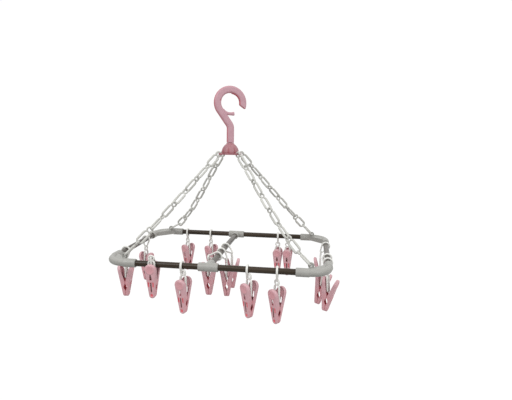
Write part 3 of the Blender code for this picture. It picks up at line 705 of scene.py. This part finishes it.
def build_elbow(name, side_x, side_y):
    corner = Vector((side_x * FRAME_X / 2, side_y * FRAME_Y / 2, FRAME_Z))
    to_x, to_y = Vector((-side_x, 0, 0)), Vector((0, -side_y, 0))
    points = []
    straight = ELBOW_ARM - ELBOW_BEND
    for i in range(24):
        points.append(corner + to_x * (ELBOW_ARM - straight * i / 24))
    for i in range(25):
        a = math.radians(90 * i / 24)
        points.append(corner + to_x * (ELBOW_BEND * (1 - math.sin(a)))
                      + to_y * (ELBOW_BEND * (1 - math.cos(a))))
    for i in range(1, 25):
        points.append(corner + to_y * (ELBOW_BEND + straight * i / 24))
    total = len(points)
    sizes = []
    for i in range(total):
        along = min(i, total - 1 - i) * straight / 24
        lip = max(0.0, 1.0 - along / 1.0)
        step = min(1.0, max(0.0, (along - SOCKET_COLLAR + 1.0) / 1.2))
        sizes.append(SOCKET_R - 0.3 * lip * lip
                     - (SOCKET_R - ELBOW_R + 0.5) * step * step * (3 - 2 * step))
    body = sweep(points, circle(1.0, 48), Z, sizes=sizes)
    # the web that fills the inside of the bend and carries the chain's loop
    outline = [corner + to_x * u + to_y * v for u, v in
               ((WEB_REACH, 6), (6, WEB_REACH), (6.6, 24), (9.8, 15.5), (15.5, 9.8), (24, 6.6))]
    verts, faces = [], []
    for rise, inset in ((-WEB_HALF, 0.9), (-WEB_HALF + 0.9, 0.0), (WEB_HALF - 0.9, 0.0),
                        (WEB_HALF, 0.9)):
        middle = sum(outline, Vector()) / len(outline)
        for p in outline:
            q = p + (middle - p).normalized() * inset
            verts.append((q.x, q.y, q.z + rise))
    count = len(outline)
    for row in range(3):
        for k in range(count):
            m = (k + 1) % count
            faces.append((row * count + k, row * count + m,
                          (row + 1) * count + m, (row + 1) * count + k))
    faces.append(tuple(range(count)))
    faces.append(tuple(3 * count + k for k in range(count)))
    web = new_mesh(verts, faces)
    loop_points = [p + Vector((0, side_y * LOOP_Y, 0)) for p in
                   arc((side_x * LOOP_X, FRAME_Z + LOOP_RISE), LOOP_R, 0, 350, 35)]
    loop = sweep(loop_points, circle(LOOP_WIRE + 0.25, 16), Y, closed=True)
    foot = sweep([Vector((side_x * LOOP_X + d, side_y * LOOP_Y, FRAME_Z + 5.2))
                  for d in (-3.0, -1.5, 0, 1.5, 3.0)],
                 circle(1.9, 16), Y, round_ends=1.6)
    bores = []
    for way in (to_x, to_y):
        mouth = corner + way * ELBOW_ARM
        bores.append(rod(SOCKET_BORE_R, mouth + way * 3, mouth - way * SOCKET_DEPTH, 48))
    solid = combine(body, [web], "UNION")
    solid = softened(joined([solid, loop, foot]), 0.5, 4)
    solid = combine(solid, bores, "DIFFERENCE")

    def painted_shade(co, normal):
        # painted shade on the undersides, at the socket mouths and at the step of the collars
        under = max(0.0, -normal.z)
        near = min(abs((co - corner).dot(to_x) - ELBOW_ARM),
                   abs((co - corner).dot(to_y) - ELBOW_ARM))
        lip = max(0.0, 1.0 - near / 0.9)
        line = max(0.0, 1.0 - abs(near - SOCKET_COLLAR) / 1.2)
        return 0.10 + 0.22 * under + 0.35 * lip + 0.12 * line

    set_painted_shade(solid, painted_shade)
    piece(name + "_moulding", solid, WHITE, "frame", [name], sharp=50)


def build_tee(name, side_y):
    y = side_y * FRAME_Y / 2
    inward = Vector((0, -side_y, 0))
    run = rod(SOCKET_R, (TEE_X - TEE_HALF, y, FRAME_Z), (TEE_X + TEE_HALF, y, FRAME_Z), 64, 0.6)
    centre = Vector((TEE_X, y, FRAME_Z))
    mouth = centre + inward * TEE_BRANCH
    branch = rod(SOCKET_R - 0.2, centre, mouth, 64, 0.6)
    solid = softened(joined([run, branch]), 0.5, 5)
    bores = [rod(SOCKET_BORE_R, (TEE_X + s * (TEE_HALF + 3), y, FRAME_Z),
                 (TEE_X + s * 2.5, y, FRAME_Z), 48) for s in (-1, 1)]
    bores.append(rod(SOCKET_BORE_R, mouth + inward * 3, centre + inward * 9.5, 48))
    solid = combine(solid, bores, "DIFFERENCE")

    def painted_shade(co, normal):
        # painted shade on the undersides and at the socket mouths
        lip = max(0.0, 1.0 - abs(abs(co.x - TEE_X) - TEE_HALF) / 0.9)
        lip = max(lip, 1.0 - abs((co - mouth).dot(inward)) / 0.9)
        return 0.12 + 0.25 * max(0.0, -normal.z) + 0.3 * lip

    set_painted_shade(solid, painted_shade)
    piece(name + "_moulding", solid, WHITE, "frame", [name], sharp=50)


def build_tube(name, start, end, axis):
    start, end = Vector(start), Vector(end)
    length = (end - start).length
    inner = TUBE_R - TUBE_WALL
    profile = [(TUBE_R, length - 0.15), (TUBE_R, 0.15), (TUBE_R - 0.15, 0.0),
               (inner + 0.15, 0.0), (inner, 0.15), (inner, length - 0.15),
               (inner + 0.15, length), (TUBE_R - 0.15, length)]
    mesh = lathe(profile, 64, start, end - start)
    piece(name + "_drawn", mesh, TUBES[axis], "frame", [name], sharp=30)


def build_frame():
    for front, side_y in (("front", -1), ("back", 1)):
        for left, side_x in (("left", -1), ("right", 1)):
            build_elbow(f"elbow_{front}_{left}", side_x, side_y)
            x0 = TEE_X + side_x * (TEE_HALF - SOCKET_DEPTH + 1.5)
            x1 = side_x * (FRAME_X / 2 - ELBOW_ARM + SOCKET_DEPTH - 1)
            y = side_y * FRAME_Y / 2
            build_tube(f"tube_{front}_{left}", (x0, y, FRAME_Z), (x1, y, FRAME_Z), "x")
        build_tee(f"tee_{front}", side_y)
    reach = FRAME_Y / 2 - ELBOW_ARM + SOCKET_DEPTH - 1
    for left, side_x in (("left", -1), ("right", 1)):
        x = side_x * FRAME_X / 2
        build_tube(f"tube_side_{left}", (x, -reach, FRAME_Z), (x, reach, FRAME_Z), "y")
    reach = FRAME_Y / 2 - 10.5
    build_tube("tube_centre", (TEE_X, -reach, FRAME_Z), (TEE_X, reach, FRAME_Z), "y")


# --- Clips ------------------------------------------------------------------------

def jaw_outer(s):
    return JAW_TIP_X + (JAW_HEAD_X - JAW_TIP_X) * s / JAW_LENGTH


def jaw_inner(s):
    # the handles' edges leave room for the link when the jaw is wide open
    knots = [(0, 0.2), (12, 0.2), (20, 3.2), (28.5, 0.3), (31, 0.3), (39, 3.0), (65, 10.35)]
    for (h0, x0), (h1, x1) in zip(knots, knots[1:]):
        if s <= h1:
            t = (s - h0) / (h1 - h0)
            if h1 in (20, 28.5):
                t = t * t * (3 - 2 * t)
            return x0 + (x1 - x0) * t
    return knots[-1][1]


HEAD_C = JAW_LENGTH - JAW_HEAD_R
SLOPE = math.asin((JAW_HEAD_R - JAW_TIP_R) / (HEAD_C - JAW_TIP_R))


def jaw_outline(inset, tip_steps=7, side_steps=26, head_steps=12):
    """Outline of a jaw's face as (across, height) points, set in by inset."""
    right = []
    tip_r, head_r = JAW_TIP_R - inset, JAW_HEAD_R - inset
    for i in range(tip_steps + 1):
        a = -math.pi / 2 + (math.pi / 2 - SLOPE) * i / tip_steps
        right.append((tip_r * math.cos(a), JAW_TIP_R + tip_r * math.sin(a)))
    p0 = right[-1]
    p1 = (head_r * math.cos(-SLOPE), HEAD_C + head_r * math.sin(-SLOPE))
    for i in range(1, side_steps):
        t = i / side_steps
        right.append((p0[0] + (p1[0] - p0[0]) * t, p0[1] + (p1[1] - p0[1]) * t))
    for i in range(head_steps + 1):
        a = -SLOPE + (math.pi / 2 + SLOPE) * i / head_steps
        right.append((head_r * math.cos(a), HEAD_C + head_r * math.sin(a)))
    left = [(-w, s) for w, s in reversed(right[1:-1])]
    return right + left


def inside(point, polygon):
    x, y = point
    hit = False
    for (x0, y0), (x1, y1) in zip(polygon, polygon[1:] + polygon[:1]):
        if (y0 > y) != (y1 > y) and x < (x1 - x0) * (y - y0) / (y1 - y0) + x0:
            hit = not hit
    return hit


def filled(outline, holes, extra):
    """Triangles over an outline less its holes, through the extra points."""
    coords, edges = [], []
    for loop in [outline] + holes:
        first = len(coords)
        coords += [Vector(p) for p in loop]
        edges += [(first + i, first + (i + 1) % len(loop)) for i in range(len(loop))]
    for p in extra:
        if inside(p, outline) and not any(inside(p, h) for h in holes):
            coords.append(Vector(p))
    verts, _, faces, *_ = delaunay_2d_cdt(coords, edges, [], 0, 1e-5)
    kept = []
    for face in faces:
        c = sum((verts[i] for i in face), Vector((0, 0))) / len(face)
        if inside(c, outline) and not any(inside(c, h) for h in holes):
            kept.append(tuple(face))
    return [tuple(v) for v in verts], kept


def slot_shape(half_low, half_high, low, high, steps=5):
    """An upright slot with round ends, as (across, height) points."""
    out = []
    for i in range(steps + 1):
        a = math.pi * i / steps
        out.append((half_high * math.cos(a), high - half_high + half_high * math.sin(a)))
    for i in range(steps + 1):
        a = math.pi + math.pi * i / steps
        out.append((half_low * math.cos(a), low + half_low + half_low * math.sin(a)))
    return out


def box_shape(w0, w1, s0, s1, r=0.45):
    out = []
    for cx, cy, a0 in ((w1 - r, s1 - r, 0), (w0 + r, s1 - r, 90),
                       (w0 + r, s0 + r, 180), (w1 - r, s0 + r, 270)):
        for i in range(3):
            a = math.radians(a0 + 45 * i)
            out.append((cx + r * math.cos(a), cy + r * math.sin(a)))
    return out


PAD_R, DIMPLE_S, DIMPLE_W, DIMPLE_H = 7.7, 6.4, 2.8, 3.6


def face_height(w, s):
    """How far a jaw's outer face stands proud of its plane: the round thumb pad, dished in its
    middle, and the tip dimple."""
    d = math.hypot(w, s - HEAD_C)
    h = 0.0
    if d < PAD_R + 0.5:
        rise = min(1.0, max(0.0, (PAD_R + 0.5 - d) / 0.9))
        rise = rise * rise * (3 - 2 * rise)
        dish = 0.75 * (1 - min(1.0, d / (PAD_R - 0.6)) ** 2)
        h += 0.62 * rise - dish
    e = math.hypot(w / DIMPLE_W, (s - DIMPLE_S) / DIMPLE_H)
    if e < 1.0:
        t = min(1.0, (1.0 - e) / 0.42)
        h -= 0.85 * t * t * (3 - 2 * t)
    return h


def jaw_mesh():
    """One jaw on the +X side, standing on its tip at the origin, in mm."""
    verts, faces, painted_shade = [], [], []

    def shade(value, s):
        """Painted shade for the hollow side: a strong red standing in for its shade and for
        light through the translucent walls, paling upwards.
        """
        t = min(1.0, max(0.0, (s - 29.0) / 11.0))
        return value * (1.0 - 0.95 * t * t * (3 - 2 * t))

    def ring(outline, xs, value):
        first = len(verts)
        for (w, s), x in zip(outline, xs):
            verts.append((x, w, s))
            painted_shade.append(shade(value, s))
        return range(first, first + len(outline))

    def bridge(a, b):
        n = len(a)
        for k in range(n):
            m = (k + 1) % n
            faces.append((a[k], a[m], b[m], b[k]))

    full = jaw_outline(0.0)
    heights = [s for _, s in full]
    corner = 2.0

    def inset_ring(inset, x_of, value):
        out = jaw_outline(inset)
        return ring(out, [x_of(h) for h in heights], value)

    # the rings carry painted shade: strongest on the hollow side, fading over the edges to the
    # outer face
    rings = [
        inset_ring(1.5, lambda s: jaw_outer(s) - JAW_SKIN, 1.0),
        inset_ring(1.5, lambda s: 0.5 * (jaw_outer(s) - JAW_SKIN + jaw_inner(s)), 0.9),
        inset_ring(1.5, lambda s: jaw_inner(s) + 0.35, 0.65),
        inset_ring(1.15, jaw_inner, 0.45),
        inset_ring(0.35, jaw_inner, 0.35),
        inset_ring(0.0, lambda s: jaw_inner(s) + 0.35, 0.22),
        inset_ring(0.0, lambda s: 0.5 * (jaw_inner(s) + jaw_outer(s) - corner), 0.16),
        inset_ring(0.0, lambda s: jaw_outer(s) - corner, 0.12),
    ]
    for deg in (22.5, 45, 67.5, 90):
        a = math.radians(deg)
        rings.append(inset_ring(corner * (1 - math.cos(a)),
                                lambda s, a=a: jaw_outer(s) - corner + corner * math.sin(a),
                                0.10 - 0.07 * deg / 90))
    for a, b in zip(rings, rings[1:]):
        bridge(a, b)

    through = [slot_shape(2.1, 1.6, 35.2, 46.2), slot_shape(1.15, 1.15, 12.2, 31.6)]
    blind = [box_shape(3.2, 5.35, 23.2, 31.6), box_shape(-5.35, -3.2, 23.2, 31.6)]
    holes = through + blind
    extra = []
    for radius in (2.2, 4.4, 6.2, 7.1, 7.4, 7.7, 8.0, 8.2):
        count = max(12, int(radius * 6))
        extra += [(radius * math.cos(2 * math.pi * k / count),
                   HEAD_C + radius * math.sin(2 * math.pi * k / count)) for k in range(count)]
    for e in (0.3, 0.58, 0.72, 0.86, 1.0):
        extra += [(DIMPLE_W * e * math.cos(2 * math.pi * k / 24),
                   DIMPLE_S + DIMPLE_H * e * math.sin(2 * math.pi * k / 24)) for k in range(24)]
    for i in range(-6, 7):
        for j in range(0, 24):
            w, s = i * 1.7 + (0.85 if j % 2 else 0.0), 11.5 + j * 1.5
            extra.append((w, s))

    # outer face: its outline is the last corner ring, point for point
    border = jaw_outline(corner)
    flat, tris = filled(border, holes, extra)
    first = len(verts)
    nearest = {}
    for (w, s), h in zip(border, heights):
        nearest[(round(w, 3), round(s, 3))] = h
    for w, s in flat:
        h = nearest.get((round(w, 3), round(s, 3)), None)
        base = jaw_outer(s) if h is None else jaw_outer(h)
        verts.append((base + face_height(w, s), w, s))
        # painted shade: strong red in the tip dimple, a little in the dish of the thumb pad
        e = math.hypot(w / DIMPLE_W, (s - DIMPLE_S) / DIMPLE_H)
        value = 0.03 + (0.95 * min(1.0, (1 - e) / 0.35) if e < 1 else 0.0)
        d = math.hypot(w, s - HEAD_C)
        if d < PAD_R:
            value = 0.16 + 0.05 * (1 - d / PAD_R)
        painted_shade.append(value)
    faces.extend(tuple(first + i for i in t) for t in tris)

    # inner face of the skin, in the painted hollow shade
    border = jaw_outline(1.5)
    flat, tris = filled(border, through, [(i * 2.8, 8 + j * 3.0) for i in range(-3, 4)
                                          for j in range(0, 19)])
    nearest = {(round(w, 3), round(s, 3)): h for (w, s), h in zip(border, heights)}
    first = len(verts)
    for w, s in flat:
        h = nearest.get((round(w, 3), round(s, 3)), s)
        verts.append((jaw_outer(h) - JAW_SKIN, w, s))
        painted_shade.append(shade(1.0, s))
    faces.extend(tuple(first + i for i in reversed(t)) for t in tris)

    # walls of the holes, in strong painted shade
    for hole in through:
        a = ring(hole, [jaw_outer(s) + face_height(w, s) for w, s in hole], 0.7)
        b = ring(hole, [jaw_outer(s) - JAW_SKIN for w, s in hole], 1.0)
        bridge(a, b)
    # the side windows end on a thin floor, painted strong red: shade in the recess and light
    # through the thin wall
    for hole in blind:
        a = ring(hole, [jaw_outer(s) for w, s in hole], 0.9)
        b = ring(hole, [jaw_outer(s) - 0.9 for w, s in hole], 1.0)
        bridge(a, b)
        faces.append(tuple(b))
    return new_mesh(verts, faces, painted_shade)


def hanger_ring():
    """The drop-shaped ring round a tube along Y, its plane in XZ."""
    top = (0.0, COLLAR_UP)
    foot = (0.0, -COLLAR_DROP + COLLAR_FOOT_R)
    lean = math.degrees(math.asin((COLLAR_R - COLLAR_FOOT_R) / (top[1] - foot[1])))
    points = arc(top, COLLAR_R, -lean, 180 + lean, 40)
    a, b = points[-1], arc(foot, COLLAR_FOOT_R, 180 + lean, 181 + lean, 1)[0]
    points += [a.lerp(b, t / 6) for t in range(1, 6)]
    points += arc(foot, COLLAR_FOOT_R, 180 + lean, 360 - lean, 16)
    a, b = points[-1], points[0]
    points += [a.lerp(b, t / 6) for t in range(1, 6)]
    thick = [min(1.0, max(0.0, (p.z + COLLAR_DROP - 3.0) / 6.0)) for p in points]
    mesh = sweep(points, [oval(1.35 + 0.4 * t, 1.7 + 0.3 * t) for t in thick], Y, closed=True)
    # painted shade on the flat sides of the wire
    return set_painted_shade(mesh, lambda co, normal: 0.12 + 0.2 * abs(normal.y) ** 3)


def spring_mesh():
    """The steel spring: a staple over the pivot, whose flat top the link hangs
    from and whose arms lie in the slots of both jaws."""
    radius = 0.78
    right = []
    for i in range(12):
        s = 13.4 + (28.0 - 13.4) * i / 11
        right.append(Vector((jaw_outer(s) - 0.95, 0, s)))
    right += [Vector((8.45, 0, 30.0)), Vector((7.95, 0, 31.6)), Vector((7.6, 0, 33.2)),
              Vector((7.5, 0, 34.8)), Vector((7.5, 0, 36.5))]
    right += arc((4.0, 36.5), 3.5, 0, 90, 8)[1:]
    top = [Vector((x, 0, 40.0)) for x in (2.7, 1.35, 0.0, -1.35, -2.7)]
    left = [Vector((-p.x, 0, p.z)) for p in reversed(right)]
    mesh = sweep(right + top + left, circle(radius, 10), Y, round_ends=radius)
    return mesh


REST = (0, 0, 2.4)
HIGH = (-5.6, 4.0, 11.8)
CLIPS = [
    ("clip_front_1", "x", -111, -140, 270, 150, REST, -3.6, 0, 0, 3.7),
    ("clip_front_2", "x", -58, -140, 76, 0, HIGH, 0, 0, 0, -1),
    ("clip_front_3", "x", 59.5, -140, 54, 0, HIGH, 0, 0, 0, -1),
    ("clip_front_4", "x", 111.5, -140, 53, 0, REST, 0, 0, 0, -1),
    ("clip_back_1", "x", -131, 140, 60, 0, REST, 0, 0, 0, -1),
    ("clip_back_2", "x", -73, 140, 55, 0, REST, 0, 0, 0, -1),
    ("clip_back_3", "x", 90, 140, 86, 0, REST, 0, 0, 0, -1),
    ("clip_back_4", "x", 113.5, 140, 84, 0, REST, 0, 0, 0, -1),
    ("clip_left_1", "y", -200, -57, 185, 0, REST, 0, 0, 0, -1),
    ("clip_left_2", "y", -200, 46, -18, 0, REST, 0, 0, 0, -1),
    ("clip_centre_1", "y", -10, -66, 0, 86, REST, 0, 0, 0, -1),
    ("clip_centre_2", "y", -10, -33, 8, -38, REST, 0, 0, 0, -1),
    ("clip_centre_3", "y", -10, 8, 4, -52, REST, 0, 0, 0, -1),
    ("clip_right_1", "y", 200, -67, -18, 0, REST, -4, 0, 9, -1),
    ("clip_right_2", "y", 200, -36, -16, 12, REST, 9, 0, 11, -1),
    ("clip_right_3", "y", 200, 62, 0, 36, REST, 0, 0, 0, -1),
]
BAR_DROP = -2 * RING_R - CLIP_EYE + WIRE + SPRING_R - LINK_BITE


def clip_places():
    for name, along, x, y, yaw, swing, hold, lean, slant, tilt, seat in CLIPS:
        across = turned(90 if along == "x" else 0, "Z")
        spin = turned(yaw - (90 if along == "x" else 0), "Z")
        ring = (Matrix.Translation((x, y, FRAME_Z)) @ across @ turned(swing, "Y"))
        foot = ring @ Vector((0, 0, -COLLAR_DROP))
        side = -1 if along == "x" else 1
        top = foot + across.to_3x3() @ Vector((-side * hold[0], side * hold[1], hold[2]))
        link = (Matrix.Translation(top) @ across @ turned(lean, "Y")
                @ turned(side * slant, "X") @ spin)
        bar = link @ Vector((0, 0, BAR_DROP))
        jaws = (Matrix.Translation(bar) @ across @ turned(tilt, "Y") @ spin
                @ Matrix.Translation((-seat, 0, -JAW_SPRING)))
        yield name, ring, link, jaws


def in_metres(matrix):
    out = matrix.copy()
    out.translation = matrix.translation * 0.001
    return out


def build_clips():
    mover = jaw_mesh()
    carrier = mover.copy()
    carrier.transform(Matrix.Scale(-1, 4, (1, 0, 0)))
    carrier.flip_normals()
    link = snap_link(CLIP_EYE)
    link.transform(turned(90, "Z"))
    ring = hanger_ring()
    spring = spring_mesh()
    for name, ring_at, link_at, jaws_at in clip_places():
        jaws = in_metres(jaws_at)
        piece(name + "_carrier_shell", carrier, PINK, name, [name + "_carrier_jaw"],
              jaws, sharp=42)
        piece(name + "_free_shell", mover, PINK, name + "_jaw", [name + "_free_jaw"],
              jaws, sharp=42)
        piece(name + "_link", link, BRIGHTENED_LINK, name, (),
              in_metres(link_at), sharp=50)
        piece(name + "_ring", ring, BRIGHTENED_LINK, name, (),
              in_metres(ring_at), sharp=0)
        own = spring.copy()
        bow = piece(name + "_spring", own, STEEL, name, (), jaws,
                    sharp=0, ride=False)
        bow.data = bow.data.copy()
        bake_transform(bow)


# --- Camera, floor and light ----------------------------------------------------------

def build_camera():
    """The photograph's viewpoint, fitted to the frame's corners and tubes."""
    yaw, pitch, roll = 0.1308, 0.1328, 0.0169
    forward = Vector((-math.sin(yaw) * math.cos(pitch), math.cos(yaw) * math.cos(pitch),
                      -math.sin(pitch)))
    right = forward.cross(Z).normalized()
    up = right.cross(forward)
    r = right * math.cos(roll) + up * math.sin(roll)
    u = up * math.cos(roll) - right * math.sin(roll)
    data = bpy.data.cameras.new("camera")
    data.sensor_width = 36.0
    data.lens = 421.97 / 512 * 36
    camera = bpy.data.objects.new("camera", data)
    bpy.context.scene.collection.objects.link(camera)
    place = Matrix((r, u, -forward)).transposed().to_4x4()
    place.translation = Vector((0.1649, -0.8421, -0.0984))
    camera.matrix_world = place
    bpy.context.scene.camera = camera


def build_stage():
    bm = bmesh.new()
    bmesh.ops.create_grid(bm, x_segments=4, y_segments=4, size=30)
    mesh = bpy.data.meshes.new("floor")
    bm.to_mesh(mesh)
    bm.free()
    floor = bpy.data.objects.new("floor", mesh)
    floor.location = (0, 0, -0.62)
    bpy.context.scene.collection.objects.link(floor)
    mat, tree, shader = nodes_of("pale_floor")
    # only just white: a brighter floor eats into the outlines of thin pieces
    shader.inputs["Base Color"].default_value = (0.1, 0.1, 0.1, 1)
    shader.inputs["Roughness"].default_value = 1.0
    shader.inputs["Specular IOR Level"].default_value = 0.0
    shader.inputs["Emission Color"].default_value = (1, 1, 1, 1)
    shader.inputs["Emission Strength"].default_value = 0.93
    mat.cycles.emission_sampling = "NONE"
    floor.data.materials.append(mat)
    # the floor is bright for the camera; the light from below is the world's
    floor.visible_diffuse = False
    floor.visible_glossy = False
    floor.visible_transmission = False


def build_light():
    world = bpy.data.worlds.new("studio")
    bpy.context.scene.world = world
    world.use_nodes = True
    tree = world.node_tree
    tree.nodes.clear()
    coords = node(tree, "ShaderNodeTexCoord")
    split = node(tree, "ShaderNodeSeparateXYZ")
    tree.links.new(coords.outputs["Generated"], split.inputs["Vector"])
    heights = node(tree, "ShaderNodeValToRGB")
    stops = heights.color_ramp
    stops.interpolation = "EASE"
    values = [(0.0, 0.58), (0.30, 0.70), (0.43, 0.34), (0.55, 0.25), (0.66, 1.12),
              (0.85, 1.22), (1.0, 1.0)]
    while len(stops.elements) < len(values):
        stops.elements.new(0.5)
    for element, (place, value) in zip(stops.elements, values):
        element.position = place
        element.color = (value, value, value * 0.985, 1.0)
    up = node(tree, "ShaderNodeMapRange")
    up.inputs["From Min"].default_value = -1.0
    tree.links.new(split.outputs["Z"], up.inputs["Value"])
    tree.links.new(up.outputs["Result"], heights.inputs["Fac"])
    behind = node(tree, "ShaderNodeMapRange")
    behind.inputs["From Min"].default_value = 0.1
    behind.inputs["From Max"].default_value = 0.9
    tree.links.new(split.outputs["Y"], behind.inputs["Value"])
    lit = node(tree, "ShaderNodeMix", data_type="RGBA")
    lit.inputs[7].default_value = (0.85, 0.85, 0.84, 1.0)
    tree.links.new(behind.outputs["Result"], lit.inputs[0])
    tree.links.new(heights.outputs["Color"], lit.inputs[6])
    seen = node(tree, "ShaderNodeBackground", Strength=1.02)
    seen.inputs["Color"].default_value = (1, 1, 1, 1)
    light = node(tree, "ShaderNodeBackground", Strength=1.0)
    tree.links.new(lit.outputs[2], light.inputs["Color"])
    path = node(tree, "ShaderNodeLightPath")
    choose = node(tree, "ShaderNodeMixShader")
    tree.links.new(path.outputs["Is Camera Ray"], choose.inputs[0])
    tree.links.new(light.outputs[0], choose.inputs[1])
    tree.links.new(seen.outputs[0], choose.inputs[2])
    out = node(tree, "ShaderNodeOutputWorld")
    tree.links.new(choose.outputs[0], out.inputs["Surface"])
    for name, at, size, power in (("key", (-0.7, -1.1, 0.9), 0.7, 7.0),
                                  ("fill", (1.1, -0.9, 0.35), 0.8, 4.0)):
        data = bpy.data.lights.new(name, "AREA")
        data.shape, data.size, data.energy = "SQUARE", size, power
        lamp = bpy.data.objects.new(name, data)
        lamp.location = at
        aim = Vector((0, 0, -0.25)) - Vector(at)
        lamp.rotation_euler = aim.to_track_quat("-Z", "Y").to_euler()
        bpy.context.scene.collection.objects.link(lamp)


bpy.context.scene.view_settings.view_transform = "Standard"
bpy.context.scene.view_settings.look = "None"
build_camera()
build_stage()
build_light()
build_hook()
build_hub()
build_chains()
build_frame()
build_clips()
